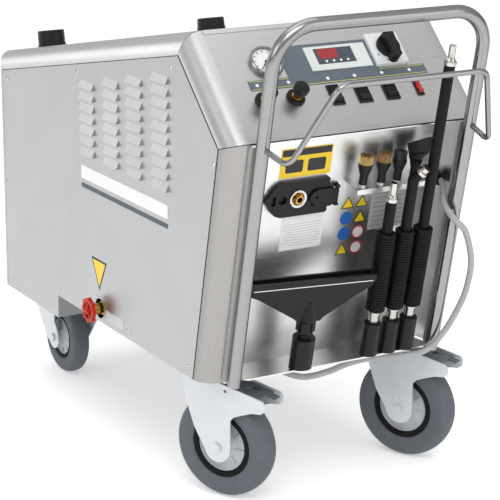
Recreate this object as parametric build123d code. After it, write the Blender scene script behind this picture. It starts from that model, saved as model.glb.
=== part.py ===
from build123d import *
import math
import os

# Mobile steam cleaner: folded sheet casing on four casters, controls on a sloping fascia,
# hand tools in a recessed front bay.  Millimetres, +Z up, the front faces -Y, ground at z = 0,
# x = 0 is the middle.  "Left" is the -X side.

# casing
HALF_W = 532.0 / 2        # middle to the flat side panels
EDGE_R = 38.0             # rounded edge running all round each side panel
SHEET = 2.0
SEAM = 0.8                # open seam between folded panels
FLANGE = 16.0             # return flange behind the side panels
REAR_Y = 510.0
SKIRT_Z, SKIRT_Y = 197.0, 254.0
FLOOR_Z = 245.0
TRAY_T = 3.0
TRAY_TOP = FLOOR_Z + TRAY_T
TRAY_REAR = REAR_Y + EDGE_R - SHEET

# side panel corners (y, z), from the rear foot over the top to the front foot
CORNERS = [(REAR_Y, SKIRT_Z), (REAR_Y, 671.0), (-267.0, 825.0), (-411.0, 686.0), (-322.0, FLOOR_Z)]
REAR_FOOT, REAR_TOP, CREST, NOSE_TOP, NOSE_FOOT = range(5)
# folded panels; each starts at the corner with the same number
REAR, HOOD, FASCIA, NOSE = range(4)

# front bay; its frame is (x, up the bay, out of the bay)
BAY_Y, BAY_Z = -313.0, 254.0      # point on the recessed front panel
BAY_X = 226.0                     # half width inside the bay
RAIL_OUT = 54.7                   # front of the bay rails
BAR_R, BAR_X = 12.0, 215.0        # push handle tube
BAR_OUT = RAIL_OUT + BAR_R
BAR_UP = 677.0
BAR_BEND = 73.0
BAR_WALL = 1.5
HOOK_R = 5.0
SHELF_T = 3.0
SOCKET = (-91.0, 327.0)           # steam socket (x, up)
GLAND = (210.0, 329.0)            # cable gland (x, up)

# fits
FIT = 0.05
PIN_R = 3.0
BORE_R = PIN_R + FIT


# ------------------------------------------------------------------
# helpers
# ------------------------------------------------------------------
def box(x0, x1, y0, y1, z0, z1):
    return Pos((x0 + x1) / 2, (y0 + y1) / 2, (z0 + z1) / 2) * Box(x1 - x0, y1 - y0, z1 - z0)


def cyl(radius, z0, z1, x=0.0, y=0.0):
    return Pos(x, y, (z0 + z1) / 2) * Cylinder(radius, z1 - z0)


def cyl_x(radius, x0, x1, y=0.0, z=0.0):
    return Pos((x0 + x1) / 2, y, z) * Rot(0, 90, 0) * Cylinder(radius, x1 - x0)


def tube(outer_r, inner_r, z0, z1, x=0.0, y=0.0):
    return cyl(outer_r, z0, z1, x, y) - cyl(inner_r, z0 - 1, z1 + 1, x, y)


def polygon(points):
    return make_face(Polyline(*points, close=True))


def prism_x(points, x0, x1):
    """Polygon of (y, z) points extruded along X."""
    face = polygon([(0, y, z) for y, z in points])
    return Pos(x0, 0, 0) * extrude(face, amount=x1 - x0, dir=(1, 0, 0))


def prism_y(points, y0, y1):
    """Polygon of (x, z) points extruded along Y."""
    return extrude(polygon([(x, y0, z) for x, z in points]), amount=y1 - y0, dir=(0, 1, 0))


def prism_z(points, z0, z1):
    """Polygon of (x, y) points extruded along Z."""
    return extrude(polygon([(x, y, z0) for x, y in points]), amount=z1 - z0, dir=(0, 0, 1))


def around(count, radius, x=0.0, y=0.0):
    """Points evenly spaced round a circle."""
    angles = [2 * math.pi * k / count for k in range(count)]
    return [(x + radius * math.cos(a), y + radius * math.sin(a)) for a in angles]


def hexagon(across_flats, z0, z1, x=0.0, y=0.0):
    return prism_z(around(6, across_flats / 2 / math.cos(math.pi / 6), x, y), z0, z1)


def lathe_z(points, x=0.0, y=0.0):
    """(r, z) outline turned about Z."""
    return Pos(x, y, 0) * revolve(polygon([(r, 0, z) for r, z in points]), Axis.Z)


def lathe_x(points):
    """(x, r) outline turned about X."""
    return revolve(polygon([(x, 0, r) for x, r in points]), Axis.X)


def fuse(first, *others):
    for other in others:
        first = first + other
    return first


def span(side, a, b):
    """Ordered x limits of a..b on one side, -1 left or +1 right."""
    return sorted((side * a, side * b))


def save(name, *shapes):
    pieces = [solid for shape in shapes for solid in shape.solids()]
    part = pieces[0] if len(pieces) == 1 else Compound(children=pieces)
    part.label = name
    export_step(part, f"parts/{name}.step")


# ------------------------------------------------------------------
# casing geometry
# ------------------------------------------------------------------
def direction(start, end):
    dy, dz = end[0] - start[0], end[1] - start[1]
    length = math.hypot(dy, dz)
    return dy / length, dz / length


DIRECTIONS = [direction(p, q) for p, q in zip(CORNERS, CORNERS[1:])]
NORMALS = [(dz, -dy) for dy, dz in DIRECTIONS]


def offset_corner(i, distance):
    """Corner i moved outward: mitred between panels, level at the two feet."""
    y, z = CORNERS[i]
    if i in (REAR_FOOT, NOSE_FOOT):
        return y + distance / NORMALS[min(i, NOSE)][0], z
    (ay, az), (by, bz) = NORMALS[i - 1], NORMALS[i]
    k = distance / (1 + ay * by + az * bz)
    return y + (ay + by) * k, z + (az + bz) * k


def move(point, heading, distance):
    return point[0] + heading[0] * distance, point[1] + heading[1] * distance


def skin():
    """Cross-section of a folded panel: local x across, local y outward."""
    flat = HALF_W - EDGE_R

    def bow(r):
        c = math.sqrt(0.5) * r
        return [
            ThreePointArc((-flat - r, 0), (-flat - c, c), (-flat, r)),
            Line((-flat, r), (flat, r)),
            ThreePointArc((flat, r), (flat + c, c), (flat + r, 0)),
        ]

    ends = [Line((-HALF_W, 0), (-HALF_W + SHEET, 0)), Line((HALF_W - SHEET, 0), (HALF_W, 0))]
    face = make_face(bow(EDGE_R) + bow(EDGE_R - SHEET) + ends)
    for side in (-1, 1):
        face = face + Pos(side * (HALF_W - 2.5), 1.0) * Rectangle(3.0, 2.0)
        flange = Rectangle(2.0, FLANGE + 1.0)
        face = face + Pos(side * (HALF_W - 3.0), (1.0 - FLANGE) / 2) * flange
    return face


def folded_panel(i, start_gap=None, end_gap=None):
    """Folded panel i, cut on its mitres less the gaps, or left overlong if they are None."""
    overrun = 90
    start, end, heading = CORNERS[i], CORNERS[i + 1], DIRECTIONS[i]
    origin = move(start, heading, -overrun)
    length = math.hypot(end[0] - start[0], end[1] - start[1]) + 2 * overrun
    plane = Plane(origin=(0, *origin), x_dir=(1, 0, 0), z_dir=(0, *heading))
    panel = extrude(plane * skin(), amount=length, dir=(0, *heading))
    return panel if start_gap is None else trim(panel, i, start_gap, end_gap)


def trim(panel, i, start_gap=0.0, end_gap=0.0):
    inside, outside = -30.0, 70.0
    region = [
        move(offset_corner(i, inside), DIRECTIONS[i], start_gap),
        move(offset_corner(i, outside), DIRECTIONS[i], start_gap),
        move(offset_corner(i + 1, outside), DIRECTIONS[i], -end_gap),
        move(offset_corner(i + 1, inside), DIRECTIONS[i], -end_gap),
    ]
    return panel & prism_x(region, -HALF_W - 20, HALF_W + 20)


def casing_plane(y, z, i):
    """Plane with x across, y up the face (rearward on the hood) and z out of panel i."""
    return Plane(origin=(0, y, z), x_dir=(1, 0, 0), z_dir=(0, *NORMALS[i]))


FASCIA_FOOT = offset_corner(NOSE_TOP, EDGE_R)
FASCIA_HEAD = offset_corner(CREST, EDGE_R)
FASCIA_L = math.hypot(FASCIA_HEAD[0] - FASCIA_FOOT[0], FASCIA_HEAD[1] - FASCIA_FOOT[1])
BAY = casing_plane(BAY_Y, BAY_Z, NOSE)
IN_BAY = BAY.location
ON_FASCIA = casing_plane(*FASCIA_FOOT, FASCIA).location
ON_HOOD = casing_plane(*FASCIA_HEAD, HOOD).location
BAY_TOP = BAY.to_local_coords(Vector(0, *FASCIA_FOOT)).Y - 4.0


def upright(shape, x, up, out):
    """Stand a shape in the bay, its Z running up the bay."""
    return IN_BAY * (Pos(x, up, out) * Rot(-90, 0, 0) * shape)


# ------------------------------------------------------------------
# hood, control fascia, corner posts
# ------------------------------------------------------------------
LIP = 9.8                         # hood lip folded down over the fascia
LIP_X = HALF_W - EDGE_R - 2.0
FRONT_CAP = (-188.0, 34.0)        # filler centres on the hood (x, distance from crest)
REAR_CAP = (-176.0, 747.0)
FRONT_NECK_R, REAR_NECK_R = 15.0, 20.0
NECK_GAP = 0.5

# controls on the fascia (x, up)
GAUGE = (-131.0, 160.0)
VALVES = ((-167.0, 82.0), (-104.0, 82.0))
DISPLAY = (-47.0, 80.0, 132.0, 183.0)     # x limits, then up limits
MAIN_SWITCH = (121.0, 163.0)
# x, up, width, length
ROCKERS = {
    "rocker_pump": (-23.0, 79.0, 24.0, 42.0),
    "rocker_heater": (33.0, 73.5, 28.0, 33.0),
    "rocker_boost": (91.0, 73.5, 28.0, 33.0),
    "rocker_power": (151.5, 75.0, 13.0, 32.0),
}


def top_hood():
    lip = box(-LIP_X, LIP_X, FASCIA_L - LIP, FASCIA_L + 60, -SHEET - 0.01, 1)
    hood = folded_panel(HOOD, 0, 0) + (trim(folded_panel(FASCIA), FASCIA) & (ON_FASCIA * lip))
    for centre, neck_r in ((FRONT_CAP, FRONT_NECK_R), (REAR_CAP, REAR_NECK_R)):
        hood = hood - ON_HOOD * cyl(neck_r + NECK_GAP, -20, 20, *centre)
    return hood


def control_fascia():
    notch_x = LIP_X + SEAM
    x0, x1, up0, up1 = DISPLAY
    cuts = [
        box(-notch_x, notch_x, FASCIA_L - LIP - SEAM, FASCIA_L + 60, -10, 10),
        cyl(28.0, -10, 10, *GAUGE),
        *[cyl(7.0, -10, 10, *centre) for centre in VALVES],
        box(x0 + 3, x1 - 3, up0 + 3, up1 - 3, -10, 10),
        cyl(12.0, -10, 10, *MAIN_SWITCH),
    ]
    for x, up, width, length in ROCKERS.values():
        half_w, half_l = width / 2 - 1, length / 2 - 1
        cuts.append(box(x - half_w, x + half_w, up - half_l, up + half_l, -10, 10))
    panel = folded_panel(FASCIA, SEAM, SEAM)
    for cut in cuts:
        panel = panel - ON_FASCIA * cut
    return panel


def corner_posts():
    """The two rounded ends of the front face, either side of the bay."""
    face = folded_panel(NOSE, SEAM, 0)
    return [face & box(*span(side, HALF_W - EDGE_R, HALF_W + 5), -600, 0, 0, 900)
            for side in (-1, 1)]


# ------------------------------------------------------------------
# side panels with pressed louvres, and their screws
# ------------------------------------------------------------------
LOUVRE_COLUMNS = ((128.0, 7), (25.0, 8), (-70.0, 9), (-172.0, 10))   # rear edge y, rows
LOUVRE_L, LOUVRE_H, LOUVRE_D = 58.0, 14.0, 6.5
LOUVRE_PITCH, LOUVRE_Z = 21.7, 570.5
DRAIN_Y, DRAIN_Z = 58.0, 272.0
# screw places (y, z)
SCREWS = [(485, 655), (143, 726), (-240, 798), (-394, 656), (498, 430), (496, 214),
          (248, 262), (-63, 262), (-300, 262)]
SCREW_R = 2.5


def louvre(side, y, z):
    """Hollow hood open below, starting at y; outlines are (out from panel, up)."""
    def wedge(outline, y0, length):
        points = [(side * (HALF_W + out), y0, z + up) for out, up in outline]
        return extrude(polygon(points), amount=length, dir=(0, 1, 0))

    top = LOUVRE_H - 2.5
    outer = [(-0.5, 0), (LOUVRE_D, 0), (0, LOUVRE_H), (-0.5, LOUVRE_H)]
    inner = [(-1.5, -1), (LOUVRE_D - 1, -1), (LOUVRE_D - 1.2, 0), (-0.2, top), (-1.5, top)]
    return wedge(outer, y, LOUVRE_L) - wedge(inner, y + 1, LOUVRE_L - 2)


def side_panel(side):
    outline = [offset_corner(i, -1.0) for i in range(5)]
    outline += [(SKIRT_Y, FLOOR_Z), (SKIRT_Y, SKIRT_Z)]
    panel = prism_x(outline, *span(side, HALF_W - SHEET, HALF_W))
    slots, louvres = [], []
    for rear_y, rows in LOUVRE_COLUMNS:
        for k in range(rows):
            z = LOUVRE_Z + k * LOUVRE_PITCH
            slot = Box(8, LOUVRE_L - 3, LOUVRE_H - 5)
            slots.append(Pos(side * HALF_W, rear_y - LOUVRE_L / 2, z + LOUVRE_H / 2 - 1) * slot)
            louvres.append(louvre(side, rear_y - LOUVRE_L, z))
    panel = panel - slots
    panel = panel + louvres
    if side < 0:
        panel = panel - cyl_x(20.0, -HALF_W - 10, -HALF_W + 10, DRAIN_Y, DRAIN_Z)
    for place in SCREWS:
        hole_x = span(side, HALF_W - SHEET - 0.5, HALF_W + 6)
        panel = panel - cyl_x(SCREW_R, *hole_x, *place)
    return panel


def casing_screws():
    """Button heads on the outside, shanks through the sheet."""
    screws = []
    for y, z in SCREWS:
        for side in (-1, 1):
            head = lathe_x([(0, 0), (0, 5.0), (1.0, 4.7), (2.2, 3.2), (2.6, 0)])
            screw = head - cyl_x(1.5, 1.2, 4) + cyl_x(SCREW_R, -SHEET, 0.2)
            if side < 0:
                screw = Rot(0, 0, 180) * screw
            screws.append(Pos(side * HALF_W, y, z) * screw)
    return screws


# ------------------------------------------------------------------
# floor tray, rear skirt, recessed front bay, tool shelf
# ------------------------------------------------------------------
def chassis_tray():
    inner_x = HALF_W - SHEET
    rim_x = inner_x - 2
    tray = box(-rim_x, rim_x, -308.5, 508.0, FLOOR_Z, TRAY_TOP)
    tray = tray + box(-BAY_X, BAY_X, 508.0, TRAY_REAR, FLOOR_Z, TRAY_TOP)
    for side in (-1, 1):
        tray = tray + box(*span(side, rim_x - 1, inner_x), -298.0, 490.0, FLOOR_Z, TRAY_TOP)
        tray = tray + box(*span(side, rim_x, inner_x), -298.0, 490.0, FLOOR_Z, FLOOR_Z + 35)
    # gap in the left rim and a hole in the floor for the drain valve
    tray = tray - box(-inner_x - 1, -inner_x + 3, DRAIN_Y - 24, DRAIN_Y + 24,
                      TRAY_TOP, FLOOR_Z + 40)
    tray = tray - cyl(12.0, FLOOR_Z - 5, FLOOR_Z + 8, -245.0, DRAIN_Y)

    skirt = fuse(
        box(-inner_x, inner_x, SKIRT_Y, 493.0, SKIRT_Z, SKIRT_Z + 2),
        box(-rim_x, rim_x, 492.0, 508.0, SKIRT_Z, SKIRT_Z + 2),
        box(-BAY_X, BAY_X, 507.0, TRAY_REAR, SKIRT_Z, SKIRT_Z + 2),
    )
    skirt = skirt + (box(-inner_x, inner_x, SKIRT_Y, SKIRT_Y + 2, SKIRT_Z, FLOOR_Z))
    skirt = skirt + box(-inner_x, inner_x, SKIRT_Y, SKIRT_Y + 22, FLOOR_Z - 2, FLOOR_Z)
    return tray + skirt


def front_panel():
    bottom, wall_x, rail_x = -40.0, BAY_X + SHEET, BAY_X - 22
    pan = IN_BAY * fuse(
        box(-wall_x, wall_x, bottom, BAY_TOP, -SHEET, 0),
        box(-wall_x, -BAY_X, bottom, BAY_TOP, -SHEET, RAIL_OUT),
        box(BAY_X, wall_x, bottom, BAY_TOP, -SHEET, RAIL_OUT),
        box(-wall_x, -rail_x, bottom, BAY_TOP, RAIL_OUT - SHEET, RAIL_OUT),
        box(rail_x, wall_x, bottom, BAY_TOP, RAIL_OUT - SHEET, RAIL_OUT),
        box(-wall_x, wall_x, BAY_TOP - SHEET, BAY_TOP, -SHEET, 44.0),
    )
    pan = pan & box(-400, 400, -700, 0, FLOOR_Z + 0.2, 900)
    pan = pan - IN_BAY * cyl(9.0, -20, 20, *SOCKET) - IN_BAY * cyl(8.0, -20, 20, *GLAND)
    return pan + box(-BAY_X + 6, BAY_X - 6, -310.6, -286.0, TRAY_TOP, TRAY_TOP + SHEET)


def tool_shelf():
    shelf = box(-202.0, 202.0, -389.0, -305.0, BAY_Z - SHELF_T, BAY_Z)
    for side in (-1, 1):
        corner = [(side * 203, -376.0), (side * 203, -390), (side * 189, -390)]
        shelf = shelf - prism_z(corner, BAY_Z - 5, BAY_Z + 5)
    return shelf - IN_BAY * box(-300, 300, -60, 60, -30, 0)


# ------------------------------------------------------------------
# push handle and hose hook
# ------------------------------------------------------------------
def bent_rod(points, radius, bend):
    """Round bar through (x, up, out) points."""
    path = FilletPolyline(*points, radius=bend)
    return sweep(Plane(origin=path @ 0, z_dir=path % 0) * Circle(radius), path=path)


def push_handle():
    def bar(foot, radius):
        path = [(-BAR_X, foot, BAR_OUT), (-BAR_X, BAR_UP, BAR_OUT),
                (BAR_X, BAR_UP, BAR_OUT), (BAR_X, foot, BAR_OUT)]
        return bent_rod(path, radius, BAR_BEND)

    hook_path = [(-BAR_X, 462, BAR_OUT), (-206, 458, 138), (-148, 608, 170),
                 (148, 608, 170), (206, 458, 138), (BAR_X, 462, BAR_OUT)]
    hook = bent_rod(hook_path, HOOK_R, 24.0)
    for side in (-1, 1):
        hook = hook - Pos(side * BAR_X, 460, BAR_OUT) * Rot(90, 0, 0) * Cylinder(BAR_R, 80)
    hook = IN_BAY * hook
    # drop the stubs cut off inside and beyond the handle tube
    hook = max(hook.solids(), key=lambda solid: solid.volume)
    return IN_BAY * (bar(2, BAR_R) - bar(5, BAR_R - BAR_WALL)) + hook


# ------------------------------------------------------------------
# control fascia fittings
# ------------------------------------------------------------------
def gauge_case():
    case = lathe_z([(0, -24), (27.8, -24), (27.8, 0), (32, 0), (32, 7), (30.5, 9),
                    (28, 9), (28, 3), (0, 3)], *GAUGE)
    return ON_FASCIA * (case - cyl(1.5, -4, 5, *GAUGE))


def gauge_needle():
    pointer = prism_z([(-1.4, -7), (1.4, -7), (0.5, 23), (-0.5, 23)], 4.2, 5.2)
    return ON_FASCIA * fuse(
        cyl(1.5 - FIT, -3.5, 5.2, *GAUGE),
        cyl(3.5, 4.0, 5.6, *GAUGE),
        Pos(*GAUGE, 0) * Rot(0, 0, 135) * pointer,
    )


def display_module():
    x0, x1, up0, up1 = DISPLAY
    body = box(x0 + 3.2, x1 - 3.2, up0 + 3.2, up1 - 3.2, -22, 0) + box(x0, x1, up0, up1, 0, 2.4)
    body = body - box(x0 + 18, x1 - 28, up0 + 12, up1 - 5, 1.2, 4)
    return ON_FASCIA * (body - box(x0 + 25, x1 - 63, up0 + 24, up1 - 6, 0.2, 4))


SPINDLE_R = 5.0                   # main switch spindle


def switch_plate():
    x, up = MAIN_SWITCH
    plate = box(x - 34, x + 34, up - 34, up + 34, 0, 8.5)
    plate = chamfer(plate.edges().group_by(Axis.Z)[-1], 2.0)
    plate = plate + cyl(11.8, -30, 0, x, up)
    return ON_FASCIA * (plate - cyl(SPINDLE_R + FIT, -20, 20, x, up))


def main_switch_knob():
    grip_outline = [(-11, 19), (11, 19), (8, -31), (4, -34), (-4, -34), (-8, -31)]
    return ON_FASCIA * fuse(
        cyl(SPINDLE_R, -18, 9, *MAIN_SWITCH),
        cyl(22.5, 9.0, 17.0, *MAIN_SWITCH),
        Pos(*MAIN_SWITCH, 0) * prism_z(grip_outline, 9.0, 30.0),
    )


def valve_gland(centre):
    washer = [(BORE_R, 0), (17, 0), (17, 3), (14.5, 6), (BORE_R, 6)]
    gland = fuse(lathe_z(washer, *centre), hexagon(15, 5.5, 14, *centre),
                 cyl(7.0, -24, 0.5, *centre))
    return ON_FASCIA * (gland - cyl(BORE_R, -40, 30, *centre))


def valve_knob(centre):
    cap = [(0, 17), (9, 17), (13, 20), (14, 24), (14, 31), (12, 34), (0, 35)]
    return ON_FASCIA * fuse(cyl(PIN_R, -14, 22, *centre), lathe_z(cap, *centre))


def rocker_switch(x, up, width, length):
    """Bezel and rocker of one switch."""
    wall = 3.0 if width > 14 else 2.0
    half_w, half_l = width / 2 - wall, length / 2 - wall - 0.8
    radius = half_l - 0.4
    pivot = -2

    bezel = box(x - width / 2, x + width / 2, up - length / 2, up + length / 2, 0, 3.6)
    bezel = chamfer(bezel.edges().group_by(Axis.Z)[-1], 1.2)
    bezel = bezel + box(x - width / 2 + 1.2, x + width / 2 - 1.2,
                        up - length / 2 + 1.2, up + length / 2 - 1.2, -radius - 6, 0)
    bezel = bezel - box(x - half_w, x + half_w, up - half_l, up + half_l, -radius - 3, 10)
    bezel = bezel - cyl_x(1.5 + FIT, x - half_w - 1.2, x + half_w + 1.2, up, pivot)

    key_w = half_w - 0.4
    drum = Pos(0, up, pivot) * cyl_x(radius, x - key_w, x + key_w)
    dished = [(-radius - 1, 9), (-radius - 1, -5), (radius + 1, -5), (radius + 1, 9), (0, 3.6)]
    rocker = drum & (Pos(0, up, 0) * Rot(-7, 0, 0) * prism_x(dished, x - key_w, x + key_w))
    rocker = rocker + cyl_x(1.5, x - half_w - 1.0, x + half_w + 1.0, up, pivot)
    return ON_FASCIA * bezel, ON_FASCIA * rocker


# ------------------------------------------------------------------
# front bay fittings
# ------------------------------------------------------------------
HINGE_X, HINGE_OUT, HINGE_R = -10, 8, 2.0
# outlines (x, up)
SOCKET_PLATE = [
    (-161, 327), (-150, 338), (-146, 346), (-136, 356), (-124, 361), (-29, 361),
    (-27, 358), (-27, 346), (-18, 346), (-18, 304), (-27, 304), (-27, 296),
    (-30, 293), (-124, 293), (-136, 298), (-146, 308), (-150, 316),
]
SOCKET_COVER = [
    (-22, 311), (-52, 311), (-60, 314), (-66, 320), (-68, 326),
    (-66, 332), (-60, 338), (-52, 341), (-22, 341),
]


def socket_plate():
    plate = extrude(polygon(SOCKET_PLATE), amount=8)
    plate = plate - box(-144.5, -136.5, 318, 336, 3, 20) - cyl(8.5, 2, 20, -122, 327)
    plate = plate - cyl(17.0, -5, 20, *SOCKET)
    plate = plate - box(-62, -26.9, 309, 341, 4.5, 20)
    plate = plate + box(-21, -18, 306, 344, 0, 8)
    hinge_lugs = box(-14.0, -6.0, 305, 309, 0, 12) + box(-14.0, -6.0, 340, 344, 0, 12)
    plate = plate + box(-21, -6, 304, 309, 0, 4) + box(-21, -6, 340, 346, 0, 4) + hinge_lugs
    hinge_hole = Cylinder(HINGE_R + FIT, 60)
    return IN_BAY * (plate - Pos(HINGE_X, 325, HINGE_OUT) * Rot(90, 0, 0) * hinge_hole)


def socket_cover():
    hinge = Pos(HINGE_X, 324.5, HINGE_OUT) * Rot(90, 0, 0)
    cover = Pos(0, 0, 8.2) * extrude(polygon(SOCKET_COVER), amount=4.5)
    cover = cover + (hinge * Cylinder(4.0, 30.6)) + box(-24, -10, 311, 338, 8.2, 12)
    cover = cover + (hinge * Cylinder(HINGE_R, 38))
    return IN_BAY * (cover - cyl(2.6, 0, 30, -54, 326))


def steam_coupling():
    coupling = fuse(
        tube(17.0 - FIT, 12.5, 0, 10, *SOCKET),
        tube(17.0 - FIT, 6.0, 0, 2.5, *SOCKET),
        hexagon(17, 2, 11, *SOCKET),
        cyl(8.0, 2, 15, *SOCKET),
        cyl(9.0 - FIT, -26, 2.2, *SOCKET),
    )
    return IN_BAY * (coupling - cyl(5.5, -30, 30, *SOCKET))


PEGS = (30.0, 69.0, 104.0, 140.0)     # x of the accessory pegs
PEG_UP, PEG_OUT = 343.4, 27.0


def accessory_bracket():
    bracket = box(12, 158, 312, 343.5, 0, 1.6) + box(12, 158, 342, 343.6, 0, 40)
    bracket = bracket + box(12, 158, 334, 343.6, 38.4, 40)
    for x in PEGS:
        for piece in (hexagon(10, 0, 4.4), cyl(PIN_R, 4.0, 22.0)):
            bracket = bracket + Pos(x, PEG_UP, PEG_OUT) * Rot(-90, 0, 0) * piece
    return IN_BAY * bracket


TOOL_OUT = 65.0                       # tool axes in front of the bay panel
LANCE_X = (71.0, 112.0, 151.0)
SQUEEGEE_X = -77.0
LANCE_CUP_R, LANCE_CUP_FLOOR = 6.5, 44
SQUEEGEE_CUP_R, SQUEEGEE_CUP_FLOOR = 12.5, 40


def tool_cup(x, radius, top, bore_r, floor):
    cup = upright(cyl(radius, -20, top), x, 0, TOOL_OUT)
    cup = cup - upright(cyl(bore_r, floor, 90), x, 0, TOOL_OUT)
    return cup & box(-400, 400, -600, 0, BAY_Z, 700)


def tool_cups():
    cups = [tool_cup(x, 16.5, 80, LANCE_CUP_R, LANCE_CUP_FLOOR) for x in LANCE_X]
    return cups + [tool_cup(SQUEEGEE_X, 21.0, 76, SQUEEGEE_CUP_R, SQUEEGEE_CUP_FLOOR)]


GLAND_BORE_R = 6.0


def cable_gland():
    nut = [(GLAND_BORE_R, 4.5), (12, 4.5), (12, 13), (9.5, 19), (GLAND_BORE_R, 19)]
    gland = fuse(cyl(7.9, -16, 0.5, *GLAND), hexagon(24, 0, 5, *GLAND), lathe_z(nut, *GLAND))
    return IN_BAY * (gland - cyl(GLAND_BORE_R, -40, 40, *GLAND))


CABLE_R, CABLE_PIECES = 5.9, 34
# first stretch, (x, up, out) in the bay
CABLE_IN_BAY = [
    (*GLAND, -30), (*GLAND, 0), (*GLAND, 20), (203, 322, 38),
    (191, 306, 62), (197, 286, 92), (222, 260, 100),
]
# the rest, (x, y, z), down and under the tray
CABLE_BELOW = [
    (247, -450, 430), (250, -440, 385), (246, -429, 346), (228, -416, 298),
    (211, -411, 274), (196, -408, 258), (174, -399, 245.5), (145, -382, 239.6),
    (100, -362, 237.5), (50, -352, 232), (0, -350, 222), (-48, -340, 218),
    (-90, -310, 232), (-120, -270, 238.6),
]


def power_cable():
    """Smooth path broken into straight pieces with mitred joints."""
    def coordinates(vector):
        return vector.X, vector.Y, vector.Z

    start = [coordinates(BAY.from_local_coords(Vector(*point))) for point in CABLE_IN_BAY]
    curve = Spline(*start, *CABLE_BELOW)
    line = Polyline(*[coordinates(curve @ (k / CABLE_PIECES)) for k in range(CABLE_PIECES + 1)])
    section = Plane(origin=line @ 0, z_dir=line % 0) * Circle(CABLE_R)
    return sweep(section, path=line, transition=Transition.RIGHT)


# ------------------------------------------------------------------
# lances, squeegee, brushes, scraper: modelled upright on Z
# ------------------------------------------------------------------
# top of the straight pipe, whether the tip is bent
LANCES = {
    "lance_short": (330.0, False),
    "lance_angled": (364.0, True),
    "lance_long": (582.0, False),
}
# squeegee head outline (x, z)
SQUEEGEE_HEAD = [
    (-22, 112), (22, 112), (30, 120), (104, 166), (118, 172), (123, 182), (123, 197),
    (-123, 197), (-123, 182), (-118, 172), (-104, 166), (-30, 120),
]
SQUEEGEE_TURN = -6.6


def grip():
    """Ribbed handle."""
    points = [(0, 105), (13, 105), (16, 108)]
    z = 109.0
    while z < 258:
        points += [(18.2, z), (18.2, z + 2.6), (16.6, z + 3.4), (16.6, z + 4.6)]
        z += 5.2
    points += [(18.4, z), (18.4, z + 3), (16.0, z + 5), (11, z + 5), (10, z + 2), (0, z + 2)]
    return lathe_z(points)


def lance(x, top, bent):
    body = grip() + cyl(LANCE_CUP_R - FIT, LANCE_CUP_FLOOR + 1, 106) + cyl(10.0, 200, top)
    if bent:
        body = body + Pos(0, 0, top) * Sphere(10.0)
        tip = Pos(0, 0, top) * Rot(0, 0, -50) * Rot(0, 38, 0)
        body = body + tip * cyl(9.5, 0, 22) + tip * cyl(11.0, 20, 25) + tip * cyl(7.5, 24, 34)
    else:
        nozzle = [(0, top + 2), (9, top + 2), (5.5, top + 12), (5.5, top + 32), (0, top + 32)]
        body = body + cyl(11.0, top - 1, top + 3) + lathe_z(nozzle)
    return upright(body - cyl(3.0, 40, 104), x, 0, TOOL_OUT)


def squeegee():
    spigot_r, foot = SQUEEGEE_CUP_R - FIT, SQUEEGEE_CUP_FLOOR + 1
    tool = prism_y(SQUEEGEE_HEAD, -9, 9)
    tool = tool + box(-123, 123, -13, 13, 184, 197)
    tool = tool - box(-118, 118, -8, 8, 190, 200) - box(-116, 116, -3.5, 3.5, 174, 192)
    tool = tool + lathe_z([(0, foot), (spigot_r, foot), (spigot_r, 84), (15, 88), (15, 109),
                           (19.3, 115), (10.3, 150), (0, 150)])
    for angle in range(0, 180, 45):
        tool = tool + Rot(0, 0, angle + 22.5) * box(-17.5, 17.5, -1.5, 1.5, 90, 113.7)
    tool = tool - cyl(9.0, 30, 80)
    return upright(Rot(0, 0, SQUEEGEE_TURN) * tool, SQUEEGEE_X, 0, TOOL_OUT)


def brush(x):
    tool = lathe_z([(0, 5), (7.5, 5), (7.5, 22), (12, 36), (13, 40), (13, 45), (0, 45)])
    tool = tool + lathe_z([(6.5, 44), (11.6, 44), (12.0, 60), (6.8, 60)])
    return upright(tool - cyl(BORE_R, -5, 30), x, PEG_UP, PEG_OUT)


def scraper_blade():
    tool = lathe_z([(0, 5), (8, 5), (8, 24), (13, 44), (15, 52), (0, 52)])
    tool = tool - box(-20, 20, 5.0, 30, 38, 60) - box(-20, 20, -30, -5.0, 38, 60)
    tool = tool + prism_y([(-15, 44), (12, 40), (26, 52), (27, 80), (-24, 74)], -2, 2)
    return upright(tool - cyl(BORE_R, -5, 30), PEGS[3], PEG_UP, PEG_OUT)


# ------------------------------------------------------------------
# filler caps, tanks, boiler, drain valve
# ------------------------------------------------------------------
BOILER = (40.0, 70.0)


def filler_cap(radius, height, neck_r, centre):
    bore_r = neck_r + FIT
    cap = lathe_z([(0, height), (radius - 3, height), (radius - 1.5, height - 1.5),
                   (radius - 1, 5), (radius, 5), (radius, 0), (bore_r, 0),
                   (bore_r, height - 5), (0, height - 5)])
    for x, y in around(18, radius - 0.6):
        cap = cap - cyl(1.0, 6.5, height + 1, x, y)
    return ON_HOOD * (Pos(*centre, 0) * cap)


def filler_neck(radius, centre, down, rise):
    """Neck and its bore, square to the hood."""
    bore = cyl(radius - 3, -down - 20, rise + 5, *centre)
    return ON_HOOD * cyl(radius, -down, rise, *centre), ON_HOOD * bore


def vessel(x0, x1, y0, y1, top, side_r, top_r):
    """Rounded tank standing on the tray: outer and inner bodies."""
    def rounded(inset):
        body = box(x0 + inset, x1 - inset, y0 + inset, y1 - inset, TRAY_TOP + inset, top - inset)
        body = fillet(body.edges().filter_by(Axis.Z), side_r - inset)
        return fillet(body.edges().group_by(Axis.Z)[-1], top_r - inset)

    return rounded(0), rounded(4)


def water_tank():
    outer, inner = vessel(-215, 150, 265, 482, 620, 30, 18)
    neck, bore = filler_neck(REAR_NECK_R, REAR_CAP, 130, 26)
    neck = neck - box(-300, 300, 100, 600, 0, 610)
    return (outer + neck) - bore - inner


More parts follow.
